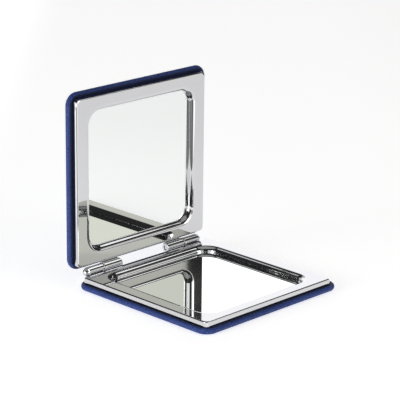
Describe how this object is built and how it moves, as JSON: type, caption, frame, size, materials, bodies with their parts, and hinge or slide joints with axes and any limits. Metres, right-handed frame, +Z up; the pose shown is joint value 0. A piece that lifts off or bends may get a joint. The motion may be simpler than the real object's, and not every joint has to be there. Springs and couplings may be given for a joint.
{
  "type": "folding pocket mirror",
  "caption": "Square folding pocket mirror: plated frames with recessed mirrors on leatherette-wrapped shells, joined along one edge by barrel hinges and standing open at a right angle.",
  "frame": {"origin": "on the flat face that the base rests on, under the middle of the base's plated frame", "axes": "+X along the hinge to the right, +Y from the front edge towards the hinge, +Z up from the surface that the base rests on"},
  "size_m": [0.066, 0.0685, 0.0685],
  "materials": {
    "plated_metal": "bright nickel plate, polished",
    "mirror_glass": "clear float glass, silvered on the back",
    "leatherette": "navy blue leatherette, fine grain, low sheen",
    "moulded_plastic": "black moulded, matt",
    "tape": "white double-sided tape",
    "magnet": "nickel-coated sintered magnet"
  },
  "bodies": {
    "base": {"base_frame": "plated_metal", "base_mirror": "mirror_glass", "base_mirror_tape": "tape", "base_spacer": "moulded_plastic", "base_shell": "moulded_plastic", "base_cover": "leatherette", "base_left_magnet": "magnet", "base_right_magnet": "magnet", "left_hinge_base_knuckle": "plated_metal", "right_hinge_base_knuckle": "plated_metal", "left_hinge_washer": "plated_metal", "right_hinge_washer": "plated_metal", "left_hinge_pin": "plated_metal", "right_hinge_pin": "plated_metal"},
    "lid": {"lid_frame": "plated_metal", "lid_mirror": "mirror_glass", "lid_mirror_tape": "tape", "lid_spacer": "moulded_plastic", "lid_shell": "moulded_plastic", "lid_cover": "leatherette", "lid_left_magnet": "magnet", "lid_right_magnet": "magnet", "left_hinge_lid_knuckle": "plated_metal", "right_hinge_lid_knuckle": "plated_metal"}
  },
  "joints": [
    {"name": "lid_hinge", "type": "hinge", "parent": "base", "child": "lid", "pos_m": [0, 0.0323, 0.00415], "axis": [-1, 0, 0], "range_deg": [-90, 90]}
  ]
}
